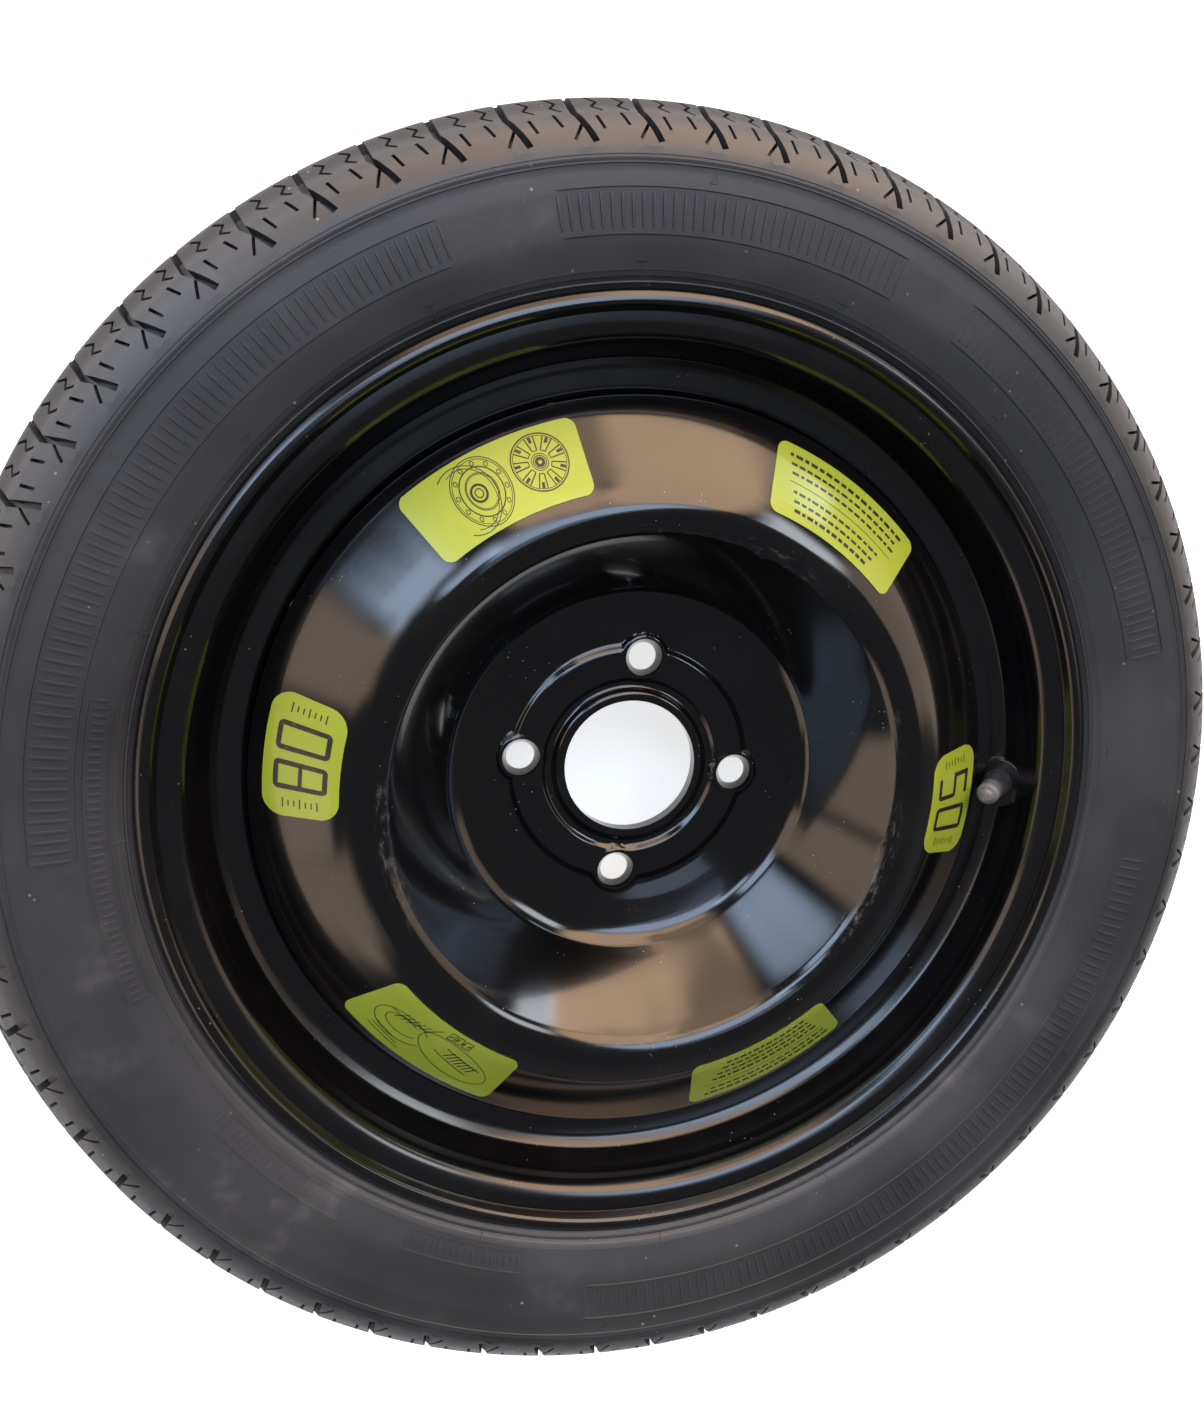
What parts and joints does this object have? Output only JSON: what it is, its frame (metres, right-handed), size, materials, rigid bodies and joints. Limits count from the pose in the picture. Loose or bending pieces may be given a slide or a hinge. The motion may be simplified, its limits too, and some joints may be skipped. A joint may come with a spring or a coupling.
{
  "type": "space saver spare wheel",
  "caption": "Narrow temporary-use spare wheel: tyre on a pressed steel rim and dished disc, with tyre valve and speed labels, lying on its side.",
  "frame": {"origin": "on the wheel axis at the floor, in the plane of the widest part of the inboard sidewall", "axes": "+Z along the wheel axis to the outboard face, +X through the first bolt hole, which is next to the valve"},
  "size_m": [0.6136, 0.6136, 0.1277],
  "materials": {
    "tread_rubber": "satin black rubber, lightly dusted",
    "black_paint": "high gloss black paint",
    "weld_paint": "black paint over weld beads",
    "valve_rubber": "matte black rubber",
    "brass": "machined brass",
    "red_seal": "smooth red seal",
    "spring_steel": "bright spring wire",
    "cap_plastic": "satin black plastic",
    "label_film": "yellow-green label under clear film"
  },
  "bodies": {
    "wheel": {"tyre": "tread_rubber", "rim": "black_paint", "disc": "black_paint", "disc_welds": "weld_paint", "valve_rubber": "valve_rubber", "valve_tube": "brass", "valve_core_body": "brass", "valve_core_seal": "red_seal", "valve_spring": "spring_steel", "label_80": "label_film", "label_50": "label_film", "label_wheels": "label_film", "label_fitting": "label_film", "label_notice": "label_film", "label_warning": "label_film"},
    "core_pin": {"valve_pin": "brass", "valve_pin_seal": "valve_rubber"},
    "cap": {"valve_cap": "cap_plastic", "valve_cap_seal": "valve_rubber"}
  },
  "joints": [
    {"name": "core_pin_press", "type": "slide", "parent": "wheel", "child": "core_pin", "axis": [0.6685, 0.0292, -0.7431], "range_m": [0, 0.0015], "stiffness_N_per_m": 800, "springref_m": -0.002, "deforming": ["valve_spring"]},
    {"name": "cap_off", "type": "slide", "parent": "wheel", "child": "cap", "axis": [-0.6685, -0.0292, 0.7431], "range_m": [0, 0.02]}
  ]
}
